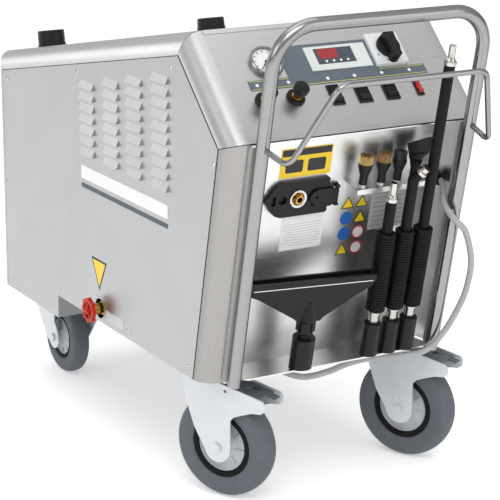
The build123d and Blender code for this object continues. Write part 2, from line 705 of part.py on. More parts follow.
def detergent_tank():
    """The neck is square to the hood above the knee and vertical below it."""
    outer, inner = vessel(-240, -135, -284, -160, 560, 20, 12)
    knee_x, knee_y, knee_z = FRONT_CAP[0], -256.0, 811.0

    def bend(upper, radius, foot):
        upper = upper & box(-400, 0, -500, 0, knee_z, 900)
        upper = upper + Pos(knee_x, knee_y, knee_z) * Sphere(radius)
        return upper + cyl(radius, foot, knee_z, knee_x, knee_y)

    neck, bore = filler_neck(FRONT_NECK_R, FRONT_CAP, 50, 15)
    neck = bend(neck, FRONT_NECK_R, 557)
    bore = bend(bore, FRONT_NECK_R - 3, 550)
    return (outer + neck) - bore - inner


def boiler():
    x, y = BOILER
    body = lathe_z([(0, 262), (116, 262), (124, 272), (124, 548), (112, 566), (40, 580),
                    (0, 580)], x, y)
    body = body + tube(100, 94, TRAY_TOP, 264, x, y)
    body = body + cyl(42, 575, 588, x, y)
    for bolt in around(6, 33, x, y):
        body = body + hexagon(10, 587, 595, *bolt)
    body = body + cyl_x(14, -100, x - 90, DRAIN_Y, 290)
    return body + cyl(9, 580, 616, x, y) + cyl(7, 560, 600, x - 70, y - 10)


def drain_valve():
    y, z = DRAIN_Y, DRAIN_Z
    valve = cyl_x(9.0, -252, -100, y, 290)
    valve = valve + box(-256, -232, y - 13, y + 13, z - 13, 304)
    valve = valve + cyl_x(13.0, -262, -250, y, z)
    valve = valve + Pos(-268, y, z) * Rot(0, -90, 0) * hexagon(21, -6, 6)
    valve = valve + cyl_x(7.5, -280, -262, y, z)
    valve = valve + box(-254, -236, y - 10, y + 10, TRAY_TOP, z)
    return valve - cyl_x(BORE_R, -300, -240, y, z) - cyl(5.0, 240, 262, -245, y)


def drain_handwheel():
    wheel = tube(22.4, 17.0, -4.0, 4.0)
    for x, y in around(8, 21.0):
        wheel = wheel + cyl(4.4, -4.3, 4.3, x, y)
    for angle in (22.5, 112.5):
        wheel = wheel + Rot(0, 0, angle) * box(-19, 19, -2.2, 2.2, -2.6, 2.6)
    wheel = wheel + cyl(8.0, -6.5, 6.0) + hexagon(8, 5.5, 9.0)
    wheel = Pos(-HALF_W - 23, DRAIN_Y, DRAIN_Z) * Rot(0, -90, 0) * wheel
    return wheel + cyl_x(PIN_R, -HALF_W - 24, -246, DRAIN_Y, DRAIN_Z)


# ------------------------------------------------------------------
# casters: front ones about the swivel axis with the trail along -Y,
# rear ones fixed, about a vertical through the axle
# ------------------------------------------------------------------
WHEEL_R, REAR_WHEEL_R = 100.0, 80.0
TRAIL = 45.0
SWIVEL = 27.0                         # both front casters are turned the same way
FRONT_CASTER = (202.0, -257.0)
REAR_CASTER = (152.0, 459.0)
AXLE_R = 6.0
LEG_X, LEG_T = 30.0, 3.0
PEDAL_PIVOT = (-62.0, 213.0)          # y, z
# tyre half-sections: radius on a 100 mm wheel, half width
FRONT_TYRE = [(61, 19), (64, 22.5), (74, 24), (86, 24), (93, 21), (97.5, 16), (99.6, 9), (100, 0)]
REAR_TYRE = [(61, 15), (64, 17.5), (74, 19), (82, 18.5), (90, 16), (96, 12), (99.5, 6), (100, 0)]


def arc_points(y, z, radius, start, end):
    angles = [math.radians(start + (end - start) * k / 10) for k in range(11)]
    return [(y + radius * math.cos(a), z + radius * math.sin(a)) for a in angles]


# leg outlines (y, z)
FRONT_LEG = [
    (38, 230), (-28, 230), (-141, 209), (-147, 202), (-146, 190), (-138, 184),
    (-120, 182), (-98, 174), (-80, 166), (-73, 158),
    *arc_points(-TRAIL, WHEEL_R, 28, 180, 345), (6, 132), (20, 170),
]
REAR_LEG = [
    (-4, 193), (88, 193), (88, 137), (31, 69),
    *arc_points(0, REAR_WHEEL_R, 24, -30, -180), (-22, 92), (-14, 106), (-4, 116),
]


def leg(outline, side):
    return prism_x(outline, *span(side, LEG_X, LEG_X + LEG_T))


def axle(y, z):
    shaft = cyl_x(AXLE_R, -34, 34, y, z)
    for side in (-1, 1):
        shaft = shaft + Pos(side * 35.5, y, z) * Rot(0, 90, 0) * hexagon(16, -2.5, 2.5)
    return shaft


def front_fork():
    outer_x = LEG_X + LEG_T
    fork = leg(FRONT_LEG, 1) + leg(FRONT_LEG, -1)
    fork = fork + box(-outer_x, outer_x, -28, 38, 227, 230) + cyl(40, 229, 234)
    fork = fork + cyl(14, 221, 228) + axle(-TRAIL, WHEEL_R)
    return fork - cyl_x(BORE_R, -50, 50, *PEDAL_PIVOT) - cyl(6 + FIT, 200, 240)


def rear_fork(side):
    """The outboard leg sweeps back, the inboard leg forward."""
    outer_x = LEG_X + LEG_T
    fork = leg(REAR_LEG, side) + leg([(-y, z) for y, z in REAR_LEG], -side)
    fork = fork + box(-outer_x, outer_x, -88, 88, 190, 193.5)
    fork = fork + box(-50, 50, -86, 86, 193, SKIRT_Z)
    return fork + axle(0, REAR_WHEEL_R)


def turned_wheel(half, y, radius):
    """Half-section of (r, x) points mirrored and turned about the axle."""
    mirrored = [(-x, r) for r, x in reversed(half) if x]
    return Pos(0, y, radius) * lathe_x([(x, r) for r, x in half] + mirrored)


def rim(y, radius):
    k = radius / WHEEL_R
    half = [(AXLE_R + FIT, 28.5), (14, 28.5), (15, 24), (20, 16), (30, 8), (42 * k, 6),
            (48 * k, 13 * k), (50 * k, 19 * k), (61 * k, 19 * k)]
    return turned_wheel(half, y, radius)


def tyre(y, radius, section):
    return turned_wheel([(r * radius / WHEEL_R, x) for r, x in section], y, radius)


def brake_pedal():
    pedal = box(-28.5, 28.5, -66, 12, 4, 7) - prism_z([(-8, -24), (16, -50), (16, -30)], 0, 10)
    pedal = pedal + box(-28.5, -26.5, -60, 11, -5, 6.5) + box(26.5, 28.5, -60, 11, -5, 6.5)
    pedal = pedal + box(8, 25, -82, -62, 2.5, 5.2)
    slope = math.degrees(math.atan2(21, 113))
    pedal = Pos(0, *PEDAL_PIVOT) * Rot(slope, 0, 0) * pedal
    return pedal + cyl_x(PIN_R, -32.5, 32.5, *PEDAL_PIVOT)


def caster_plate(side):
    plate = box(-52, 52, -48, 52, 241, FLOOR_Z) + tube(37, 20, 234, 241.5)
    plate = plate + cyl(6, 218, 242) + hexagon(17, 213, 221)
    return Pos(side * FRONT_CASTER[0], FRONT_CASTER[1], 0) * plate


def front_place(side):
    return Pos(side * FRONT_CASTER[0], FRONT_CASTER[1], 0) * Rot(0, 0, SWIVEL)


def rear_place(side):
    return Pos(side * REAR_CASTER[0], REAR_CASTER[1], 0)


# ------------------------------------------------------------------
# export, one file per piece
# ------------------------------------------------------------------
os.makedirs("parts", exist_ok=True)

for piece in (
    chassis_tray, top_hood, control_fascia, front_panel, tool_shelf, push_handle,
    gauge_case, gauge_needle, display_module, switch_plate, main_switch_knob,
    socket_plate, socket_cover, steam_coupling, accessory_bracket, cable_gland, power_cable,
    squeegee, scraper_blade, water_tank, detergent_tank, boiler, drain_valve, drain_handwheel,
):
    save(piece.__name__, piece())
for pieces in (corner_posts, casing_screws, tool_cups):
    save(pieces.__name__, *pieces())

save("rear_panel", folded_panel(REAR, 0, SEAM))
save("valve_glands", *[valve_gland(centre) for centre in VALVES])
save("steam_valve_knob", valve_knob(VALVES[0]))
save("water_valve_knob", valve_knob(VALVES[1]))

bezels = []
for name, layout in ROCKERS.items():
    bezel, rocker = rocker_switch(*layout)
    bezels.append(bezel)
    save(name, rocker)
save("rocker_bezels", *bezels)

for x, (name, (top, bent)) in zip(LANCE_X, LANCES.items()):
    save(name, lance(x, top, bent))
for name, x in zip(("brush_brass", "brush_bronze", "brush_nylon"), PEGS):
    save(name, brush(x))
save("filler_cap_rear", filler_cap(29.0, 33.0, REAR_NECK_R, REAR_CAP))
save("filler_cap_front", filler_cap(25.0, 21.0, FRONT_NECK_R, FRONT_CAP))

save("caster_plates", caster_plate(-1), caster_plate(1))
save("rear_forks", *[rear_place(side) * rear_fork(side) for side in (-1, 1)])
for tag, side in (("left", -1), ("right", 1)):
    front, rear = front_place(side), rear_place(side)
    save(f"{tag}_side_panel", side_panel(side))
    save(f"front_fork_{tag}", front * front_fork())
    save(f"brake_pedal_{tag}", front * brake_pedal())
    save(f"rim_front_{tag}", front * rim(-TRAIL, WHEEL_R))
    save(f"tyre_front_{tag}", front * tyre(-TRAIL, WHEEL_R, FRONT_TYRE))
    save(f"rim_rear_{tag}", rear * rim(0, REAR_WHEEL_R))
    save(f"tyre_rear_{tag}", rear * tyre(0, REAR_WHEEL_R, REAR_TYRE))
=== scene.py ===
"""Wheeled steam cleaner: looks, studio and camera over its CAD pieces.

The front faces -Y, the left side faces -X and the floor is Z = 0. The scene is in metres.
Added shapes are drawn in millimetres in the local frame of the face or part that carries them.
"""
import math
import random
import bpy
import bmesh
from mathutils import Matrix, Vector


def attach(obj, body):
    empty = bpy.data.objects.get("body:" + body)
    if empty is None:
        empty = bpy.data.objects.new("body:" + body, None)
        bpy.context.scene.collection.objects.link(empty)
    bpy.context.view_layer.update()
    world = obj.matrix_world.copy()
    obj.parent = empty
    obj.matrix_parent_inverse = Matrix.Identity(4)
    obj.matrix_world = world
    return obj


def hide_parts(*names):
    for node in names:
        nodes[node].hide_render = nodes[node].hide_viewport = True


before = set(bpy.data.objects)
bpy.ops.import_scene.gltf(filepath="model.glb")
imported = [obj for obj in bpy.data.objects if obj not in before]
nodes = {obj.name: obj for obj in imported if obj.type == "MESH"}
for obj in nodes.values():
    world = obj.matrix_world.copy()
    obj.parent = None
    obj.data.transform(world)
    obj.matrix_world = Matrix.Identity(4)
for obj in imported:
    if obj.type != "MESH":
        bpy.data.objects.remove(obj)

scene = bpy.context.scene


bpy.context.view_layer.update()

# ---------------------------------------------------------------- casing profile and frames
# Corners of the casing seen from the side, as (Y, Z) in mm
HOOD_REAR, HOOD_FRONT = (510.0, 671.0), (-267.0, 825.0)
NOSE, BAY_FOOT = (-411.0, 686.0), (-322.0, 245.0)
FASCIA_OFFSET = 38.0               # fascia origin: the nose moved this far out from both faces
BAY_ORIGIN = (-313.0, 254.0)       # (Y, Z) on the sloping front bay
SIDE_X = 0.266                     # side panel faces, metres from the centre plane
MM = Matrix.Scale(0.001, 4)        # millimetres to metres


def edge_vectors(start, end):
    """Unit direction of a profile edge and its outward normal, both as (Y, Z)."""
    run, rise = end[0] - start[0], end[1] - start[1]
    length = math.hypot(run, rise)
    run, rise = run / length, rise / length
    return (run, rise), (rise, -run)


HOOD_OUT = edge_vectors(HOOD_REAR, HOOD_FRONT)[1]
FASCIA_OUT = edge_vectors(HOOD_FRONT, NOSE)[1]
BAY_DOWN, BAY_OUT = edge_vectors(NOSE, BAY_FOOT)


def mitre(corner, normal_a, normal_b, offset):
    """Corner of two edges after both have moved outward by offset."""
    k = offset / (1 + normal_a[0] * normal_b[0] + normal_a[1] * normal_b[1])
    return corner[0] + (normal_a[0] + normal_b[0]) * k, corner[1] + (normal_a[1] + normal_b[1]) * k


def face_frame(origin, normal):
    """Local x = X, y up the face, z outward; local units are millimetres."""
    z = Vector((0, normal[0], normal[1]))
    x = Vector((1, 0, 0))
    y = z.cross(x)
    matrix = Matrix((x, y, z)).transposed().to_4x4()
    matrix.translation = Vector((0, origin[0], origin[1])) / 1000
    return matrix @ MM


BAY = face_frame(BAY_ORIGIN, BAY_OUT)
FASCIA = face_frame(mitre(NOSE, FASCIA_OUT, BAY_OUT, FASCIA_OFFSET), FASCIA_OUT)
# Left: local (x, y, z) = (-Y, Z, -X). Right: local (x, y, z) = (Y, Z, X).
LEFT = Matrix(((0, 0, -1, -SIDE_X), (-1, 0, 0, 0), (0, 1, 0, 0), (0, 0, 0, 1))) @ MM
RIGHT = Matrix(((0, 0, 1, SIDE_X), (1, 0, 0, 0), (0, 1, 0, 0), (0, 0, 0, 1))) @ MM


def up_bay(x, along=0, out=65):
    """Frame whose local z runs up the bay, standing out from its face."""
    return BAY @ Matrix.Translation((x, along, out)) @ Matrix.Rotation(-math.pi / 2, 4, "X")


# ---------------------------------------------------------------- material tools
def new_material(name):
    material = bpy.data.materials.new(name)
    material.use_nodes = True
    tree = material.node_tree
    return material, tree, tree.nodes["Principled BSDF"]


def srgb(red, green, blue):
    """0-255 sRGB to linear RGBA."""
    values = (red / 255, green / 255, blue / 255)
    return tuple(v / 12.92 if v <= 0.04045 else ((v + 0.055) / 1.055) ** 2.4
                 for v in values) + (1.0,)


def add_noise(tree, scale, detail=4.0, rough=0.55, stretch=(1, 1, 1)):
    coords = tree.nodes.new("ShaderNodeTexCoord")
    mapping = tree.nodes.new("ShaderNodeMapping")
    mapping.inputs["Scale"].default_value = stretch
    noise = tree.nodes.new("ShaderNodeTexNoise")
    noise.inputs["Scale"].default_value = scale
    noise.inputs["Detail"].default_value = detail
    noise.inputs["Roughness"].default_value = rough
    tree.links.new(coords.outputs["Object"], mapping.inputs["Vector"])
    tree.links.new(mapping.outputs["Vector"], noise.inputs["Vector"])
    return noise.outputs["Fac"]


def add_range(tree, source, low, high, from_low=0.3, from_high=0.7):
    node = tree.nodes.new("ShaderNodeMapRange")
    node.inputs["From Min"].default_value = from_low
    node.inputs["From Max"].default_value = from_high
    node.inputs["To Min"].default_value = low
    node.inputs["To Max"].default_value = high
    tree.links.new(source, node.inputs["Value"])
    return node.outputs[0]


def add_bump(tree, shader, height, strength, distance):
    node = tree.nodes.new("ShaderNodeBump")
    node.inputs["Strength"].default_value = strength
    node.inputs["Distance"].default_value = distance
    tree.links.new(height, node.inputs["Height"])
    tree.links.new(node.outputs["Normal"], shader.inputs["Normal"])


# Sockets of a colour Mix node
MIX_FACTOR, MIX_A, MIX_B, MIX_RESULT = 0, 6, 7, 2


def add_mix(tree):
    node = tree.nodes.new("ShaderNodeMix")
    node.data_type = "RGBA"
    return node


def metal(name, colour, rough, stretch, grain=0.18, smudge=0.06, vary=0.06, edge=0.0):
    """Grained metal. vary spreads the colour; edge paints shade on faces seen at a slant."""
    material, tree, shader = new_material(name)
    base = srgb(*colour)
    shader.inputs["Metallic"].default_value = 1.0
    grain_fac = add_noise(tree, 1.0, detail=3.0, rough=0.6, stretch=stretch)
    smudge_fac = add_noise(tree, 9.0, detail=4.0, rough=0.6)
    mix = add_mix(tree)
    mix.inputs[MIX_A].default_value = tuple(c * (1 - vary) for c in base[:3]) + (1,)
    mix.inputs[MIX_B].default_value = tuple(min(1, c * (1 + vary)) for c in base[:3]) + (1,)
    tree.links.new(grain_fac, mix.inputs[MIX_FACTOR])
    tint = mix.outputs[MIX_RESULT]
    # painted shade: the base colour is darkened on faces seen at a slant
    if edge:
        slant = tree.nodes.new("ShaderNodeLayerWeight")
        slant.inputs["Blend"].default_value = 0.5
        shade = add_range(tree, slant.outputs["Facing"], 1.0, 1.0 - edge,
                          from_low=0.25, from_high=0.9)
        darken = add_mix(tree)
        darken.blend_type = "MULTIPLY"
        darken.inputs[MIX_FACTOR].default_value = 1.0
        tree.links.new(tint, darken.inputs[MIX_A])
        tree.links.new(shade, darken.inputs[MIX_B])
        tint = darken.outputs[MIX_RESULT]
    tree.links.new(tint, shader.inputs["Base Color"])
    grain_rough = add_range(tree, grain_fac, rough - 0.05, rough + 0.07)
    smudge_rough = add_range(tree, smudge_fac, -smudge, smudge)
    total = tree.nodes.new("ShaderNodeMath")
    total.operation = "ADD"
    tree.links.new(grain_rough, total.inputs[0])
    tree.links.new(smudge_rough, total.inputs[1])
    tree.links.new(total.outputs[0], shader.inputs["Roughness"])
    add_bump(tree, shader, grain_fac, grain, distance=0.0002)
    return material


def plastic(name, colour, rough, scale, bump, spec=0.5, wear=0.05, depth=0.0003, metallic=0.0):
    """Moulding with a fine bump of the given noise scale; wear lightens it in patches."""
    material, tree, shader = new_material(name)
    base = srgb(*colour)
    shader.inputs["Metallic"].default_value = metallic
    bump_fac = add_noise(tree, scale, detail=3.0)
    patch_fac = add_noise(tree, 24.0, detail=4.0)
    mix = add_mix(tree)
    mix.inputs[MIX_A].default_value = base
    mix.inputs[MIX_B].default_value = tuple(
        min(1, c * (1 + wear * 2) + wear * 0.03) for c in base[:3]) + (1,)
    patches = add_range(tree, patch_fac, 0.0, 1.0, from_low=0.45, from_high=0.75)
    tree.links.new(patches, mix.inputs[MIX_FACTOR])
    tree.links.new(mix.outputs[MIX_RESULT], shader.inputs["Base Color"])
    patch_rough = add_range(tree, patch_fac, rough - 0.06, rough + 0.08)
    tree.links.new(patch_rough, shader.inputs["Roughness"])
    shader.inputs["Specular IOR Level"].default_value = spec
    add_bump(tree, shader, bump_fac, bump, distance=depth)
    return material


def printed(name, colour, rough=0.4):
    return plastic(name, colour, rough, scale=700, bump=0.03, wear=0.03)


def display_window():
    material, tree, shader = new_material("display_window")
    rough = add_range(tree, add_noise(tree, 40.0, detail=2.0), 0.10, 0.16)
    tree.links.new(rough, shader.inputs["Roughness"])
    shader.inputs["Base Color"].default_value = srgb(150, 22, 32)
    shader.inputs["Coat Weight"].default_value = 0.6
    return material


# ---------------------------------------------------------------- materials
# Colours are 0-255 sRGB; stretch is the grain frequency along object X, Y and Z.
SIDE = metal("brushed_side", (176, 177, 178), rough=0.36, stretch=(3, 500, 900),
             grain=0.05, smudge=0.04)
REAR = metal("brushed_rear", (176, 177, 178), rough=0.36, stretch=(4, 500, 900),
             grain=0.05, smudge=0.04)
HOOD = metal("satin_hood", (206, 206, 205), rough=0.32, stretch=(3, 500, 500),
             grain=0.04, smudge=0.04)
FASCIA_METAL = metal("satin_fascia", (200, 200, 200), rough=0.32, stretch=(3, 500, 500),
                     grain=0.04, smudge=0.04)
# edge: painted shade on the post faces seen at a slant
POST = metal("satin_post", (160, 158, 156), rough=0.26, stretch=(160, 160, 3),
             grain=0.015, smudge=0.02, vary=0.03, edge=0.45)
BAY_METAL = metal("satin_bay", (224, 224, 223), rough=0.34, stretch=(3, 500, 500),
                  grain=0.02, smudge=0.03, vary=0.03)
# edge: painted shade on the tube faces seen at a slant
TUBE = metal("polished_tube", (156, 156, 156), rough=0.20, stretch=(300, 300, 300),
             grain=0.02, smudge=0.03, vary=0.03, edge=0.7)
ZINC = plastic("zinc_fork", (205, 208, 212), rough=0.32, scale=260, bump=0.05, spec=0.6,
               wear=0.04, metallic=0.25)
TRAY = metal("zinc_tray", (146, 147, 149), rough=0.42, stretch=(60, 60, 60), grain=0.02)
# edge: painted shade on the nickel faces seen at a slant
NICKEL = metal("nickel", (205, 203, 198), rough=0.18, stretch=(200, 200, 200),
               grain=0.03, smudge=0.03, edge=0.5)
BRASS = metal("turned_brass", (196, 160, 84), rough=0.26, stretch=(300, 300, 300), grain=0.06)
BLACK = plastic("black_moulding", (20, 20, 22), rough=0.36, scale=900, bump=0.15, spec=0.26)
GRIP = plastic("black_grip", (10, 10, 11), rough=0.5, scale=700, bump=0.2, spec=0.2)
SLATE = printed("slate_print", (88, 98, 108), rough=0.42)
DARK_SLATE = printed("slate_dark", (60, 68, 78), rough=0.42)
LIME = printed("lime_line", (214, 216, 40))
PALE = plastic("pale_bezel", (206, 211, 208), rough=0.35, scale=800, bump=0.06)
LIGHT = plastic("light_plate", (214, 216, 218), rough=0.38, scale=800, bump=0.06)
RED = plastic("red_moulding", (190, 30, 26), rough=0.32, scale=700, bump=0.10)
ENAMEL = plastic("red_enamel", (178, 40, 24), rough=0.42, scale=320, bump=0.25, spec=0.25,
                 wear=0.12)
RIM = plastic("rim_moulding", (190, 194, 198), rough=0.42, scale=500, bump=0.12)
DUST_RING = plastic("dust_ring", (14, 14, 15), rough=0.75, scale=500, bump=0.15, spec=0.2)
TYRE = plastic("grey_rubber", (88, 93, 99), rough=0.62, scale=420, bump=0.35, spec=0.35,
               wear=0.08, depth=0.0006)
PEDAL = plastic("pedal_moulding", (82, 89, 96), rough=0.5, scale=500, bump=0.2)
CABLE = plastic("cable_jacket", (158, 160, 162), rough=0.45, scale=600, bump=0.12)
TANK = plastic("tank_moulding", (205, 203, 192), rough=0.4, scale=300, bump=0.1)
BOILER = metal("boiler_plate", (140, 138, 134), rough=0.4, stretch=(200, 200, 10))
WHITE = printed("label_white", (228, 229, 228), rough=0.45)
SILVER = printed("label_silver", (188, 189, 190), rough=0.35)
YELLOW = printed("label_yellow", (236, 200, 22))
INK = printed("label_ink", (26, 26, 28), rough=0.45)
BLUE = printed("label_blue", (28, 92, 170))
LABEL_RED = printed("label_red", (196, 34, 34))
BRASS_WIRE = metal("brass_wire", (220, 190, 128), rough=0.4, stretch=(300, 300, 300))
BRASS_TUFT = plastic("brass_tuft", (104, 80, 42), rough=0.6, scale=700, bump=0.3, spec=0.2)
BRONZE_TUFT = plastic("bronze_tuft", (74, 56, 34), rough=0.6, scale=700, bump=0.3, spec=0.2)
BRONZE_WIRE = plastic("bronze_wire", (178, 138, 82), rough=0.5, scale=700, bump=0.2)
NYLON = plastic("nylon_bristle", (70, 70, 72), rough=0.5, scale=700, bump=0.2)
DISPLAY = display_window()
# painted shadow for the gaps along the side panel edges
SEAM_SHADOW = printed("seam_shadow", (22, 22, 23), rough=0.7)

# Material, CAD pieces that wear it
PIECE_GROUPS = (
    (SIDE, "left_side_panel right_side_panel"),
    (REAR, "rear_panel"),
    (HOOD, "top_hood"),
    (FASCIA_METAL, "control_fascia"),
    (POST, "corner_posts"),
    (BAY_METAL, "front_panel tool_shelf accessory_bracket"),
    (TUBE, "push_handle gauge_case"),
    (NICKEL, "casing_screws"),
    (INK, "gauge_needle"),
    (PALE, "display_module"),
    (LIGHT, "switch_plate"),
    (BRASS, "valve_glands steam_coupling drain_valve"),
    (BLACK, "main_switch_knob steam_valve_knob water_valve_knob rocker_bezels rocker_pump "
            "rocker_heater rocker_boost socket_plate socket_cover tool_cups cable_gland "
            "squeegee brush_brass brush_bronze brush_nylon scraper_blade "
            "filler_cap_rear filler_cap_front"),
    (RED, "rocker_power"),
    (CABLE, "power_cable"),
    (TANK, "water_tank detergent_tank"),
    (BOILER, "boiler"),
    (TRAY, "chassis_tray"),
    (GRIP, "lance_short lance_angled lance_long"),
    (ENAMEL, "drain_handwheel"),
)
PIECE_MATERIALS = {piece: material for material, pieces in PIECE_GROUPS
                   for piece in pieces.split()}


def piece_material(name):
    """Listed pieces first, then wheel parts by prefix; all other pieces are zinc."""
    if name in PIECE_MATERIALS:
        return PIECE_MATERIALS[name]
    for prefix, material in (("tyre", TYRE), ("rim", RIM), ("brake", PEDAL)):
        if name.startswith(prefix):
            return material
    return ZINC


for name, piece in nodes.items():
    piece.data.materials.clear()
    piece.data.materials.append(piece_material(name))


# ---------------------------------------------------------------- mesh tools
def add_mesh(name, verts, faces, material, body, matrix, sharp_angle=None):
    """Mesh that rides on body; smooth up to sharp_angle degrees, or flat without one."""
    mesh = bpy.data.meshes.new(name)
    mesh.from_pydata([tuple(v) for v in verts], [], faces)
    mesh.transform(matrix)
    mesh.validate()
    bm = bmesh.new()
    bm.from_mesh(mesh)
    bmesh.ops.remove_doubles(bm, verts=bm.verts, dist=1e-7)
    bmesh.ops.recalc_face_normals(bm, faces=bm.faces)
    bm.to_mesh(mesh)
    bm.free()
    mesh.materials.append(material)
    smooth = sharp_angle is not None
    for face in mesh.polygons:
        face.use_smooth = smooth
    if smooth:
        mesh.set_sharp_from_angle(angle=math.radians(sharp_angle))
    obj = bpy.data.objects.new(name, mesh)
    scene.collection.objects.link(obj)
    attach(obj, body)
    return obj


def lathe(name, outline, material, body, matrix, segments):
    """Closed (radius, z) outline turned about local z."""
    verts, faces = [], []
    for k in range(segments):
        a = 2 * math.pi * k / segments
        for r, z in outline:
            verts.append((r * math.cos(a), r * math.sin(a), z))
    count = len(outline)
    for k in range(segments):
        q = (k + 1) % segments
        for i in range(count):
            j = (i + 1) % count
            faces.append((k * count + i, q * count + i, q * count + j, k * count + j))
    return add_mesh(name, verts, faces, material, body, matrix, sharp_angle=35)


GAP = 0.15                     # prints float this far off their face
PRINT = 0.2                    # usual print thickness
SECOND = GAP + PRINT           # height of a second print layer


def plate(name, outline, material, matrix, low=GAP, thick=PRINT, body="frame"):
    """(x, y) outline extruded along local z from low."""
    n = len(outline)
    verts = [(x, y, low) for x, y in outline] + [(x, y, low + thick) for x, y in outline]
    faces = [tuple(range(n))[::-1], tuple(range(n, 2 * n))]
    faces += [(i, (i + 1) % n, n + (i + 1) % n, n + i) for i in range(n)]
    add_mesh(name, verts, faces, material, body, matrix)


def box(x0, x1, y0, y1):
    return [(x0, y0), (x1, y0), (x1, y1), (x0, y1)]


def round_box(x0, x1, y0, y1, radius, steps=5):
    points = []
    for cx, cy, start in ((x1 - radius, y1 - radius, 0), (x0 + radius, y1 - radius, 90),
                          (x0 + radius, y0 + radius, 180), (x1 - radius, y0 + radius, 270)):
        for k in range(steps + 1):
            a = math.radians(start + 90 * k / steps)
            points.append((cx + radius * math.cos(a), cy + radius * math.sin(a)))
    return points


def disc(x, y, radius, segments):
    turns = [2 * math.pi * k / segments for k in range(segments)]
    return [(x + radius * math.cos(a), y + radius * math.sin(a)) for a in turns]


def fillet(outline, radius, steps):
    """Round the corners of a closed (radius, z) outline."""
    points = []
    for i in range(len(outline)):
        before, corner, after = (Vector(outline[j]) for j in (i - 1, i, (i + 1) % len(outline)))
        back, ahead = before - corner, after - corner
        cut = min(radius, back.length * 0.45, ahead.length * 0.45)
        back = corner + back.normalized() * cut
        ahead = corner + ahead.normalized() * cut
        for j in range(steps + 1):
            t = j / steps
            points.append(tuple((1 - t) ** 2 * back + 2 * t * (1 - t) * corner + t * t * ahead))
    return points


def smooth_path(points, steps):
    """Catmull-Rom curve through the points."""
    knots = [Vector(p) for p in points]
    path = []
    for i in range(len(knots) - 1):
        p0, p1, p2, p3 = (knots[max(i - 1, 0)], knots[i], knots[i + 1],
                          knots[min(i + 2, len(knots) - 1)])
        for k in range(steps):
            t = k / steps
            path.append(0.5 * ((2 * p1) + (p2 - p0) * t + (2 * p0 - 5 * p1 + 4 * p2 - p3) * t * t
                               + (3 * p1 - p0 - 3 * p2 + p3) * t ** 3))
    path.append(knots[-1])
    return path


def tube_along(name, points, radius, material, body, segments, steps):
    """Capped round tube along a smooth curve through world points in mm."""
    path = smooth_path(points, steps)
    verts, faces = [], []
    across = None
    for i, centre in enumerate(path):
        tangent = (path[min(i + 1, len(path) - 1)] - path[max(i - 1, 0)]).normalized()
        if across is None:
            across = tangent.orthogonal().normalized()
        across = (across - tangent * across.dot(tangent)).normalized()
        third = tangent.cross(across)
        for k in range(segments):
            a = 2 * math.pi * k / segments
            verts.append(centre + across * (radius * math.cos(a)) + third * (radius * math.sin(a)))
    for i in range(len(path) - 1):
        here, there = i * segments, (i + 1) * segments
        for k in range(segments):
            q = (k + 1) % segments
            faces.append((here + k, here + q, there + q, there + k))
    last = (len(path) - 1) * segments
    faces.append(tuple(range(segments))[::-1])
    faces.append(tuple(range(last, last + segments)))
    return add_mesh(name, verts, faces, material, body, MM, sharp_angle=50)


# ---------------------------------------------------------------- cable
def bay_point(x, along, out):
    """World point in mm, measured up the bay and out from its face."""
    return (x, BAY_ORIGIN[0] - along * BAY_DOWN[0] + out * BAY_OUT[0],
            BAY_ORIGIN[1] - along * BAY_DOWN[1] + out * BAY_OUT[1])


# (x, up the bay, out from it): the cable leaves the bay and bends over
CABLE_EXIT = ((210, 329, -25), (210, 329, 0), (210, 329, 20), (203, 322, 38),
              (191, 306, 62), (197, 286, 92), (222, 260, 100))
# World (X, Y, Z): it hangs down, then runs under the bay towards the left
CABLE_DROP = (
    (247, -450, 430), (250, -440, 385), (246, -429, 346), (228, -416, 298), (211, -411, 274),
    (196, -408, 258), (174, -399, 245.5), (145, -382, 239.6), (100, -362, 237.5),
    (50, -352, 232), (0, -350, 222), (-48, -340, 218), (-90, -310, 232), (-120, -270, 238.6))
cable = tube_along("cable_run", [bay_point(*p) for p in CABLE_EXIT] + list(CABLE_DROP),
                   radius=5.9, material=CABLE, body="frame", segments=24, steps=10)
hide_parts("power_cable")

# ---------------------------------------------------------------- left side graphics
plate("side_stripe_wide", round_box(-131, 227, 520, 546, radius=3), WHITE, LEFT, thick=0.3)
plate("side_stripe_thin", round_box(-131, 227, 502, 511, radius=2), DARK_SLATE, LEFT, thick=0.3)
plate("side_caution", [(-91, 371), (-58, 309), (-25, 371)], INK, LEFT)
plate("side_caution_in", [(-85, 367), (-58, 316), (-31, 367)], YELLOW, LEFT, SECOND, thick=0.1)
plate("side_plate", round_box(-31, 46, 256, 276, radius=1), SILVER, LEFT)

# ---------------------------------------------------------------- painted shadows in the seam gaps along the side panels
SEAM_SHADOW_INSET = 1.1                   # outer edge of each painted seam shadow, in from the profile
SEAM_SHADOW_WIDTHS = (1.3, 2.3, 2.3)      # along the hood, fascia and bay edges


def offset_profile(offset):
    return [(HOOD_REAR[0] + HOOD_OUT[0] * offset, HOOD_REAR[1] + HOOD_OUT[1] * offset),
            mitre(HOOD_FRONT, HOOD_OUT, FASCIA_OUT, offset),
            mitre(NOSE, FASCIA_OUT, BAY_OUT, offset),
            (BAY_FOOT[0] + BAY_OUT[0] * offset, BAY_FOOT[1] + BAY_OUT[1] * offset)]


for side, matrix, sign in (("left", LEFT, -1), ("right", RIGHT, 1)):
    for i, width in enumerate(SEAM_SHADOW_WIDTHS):
        outer, inner = offset_profile(-SEAM_SHADOW_INSET), offset_profile(-SEAM_SHADOW_INSET - width)
        corners = (outer[i], outer[i + 1], inner[i + 1], inner[i])
        # dark strips: painted shadow in the gap along each panel edge
        plate(f"seam_shade_{side}_{i}", [(sign * y, z) for y, z in corners], SEAM_SHADOW, matrix, thick=0.1)

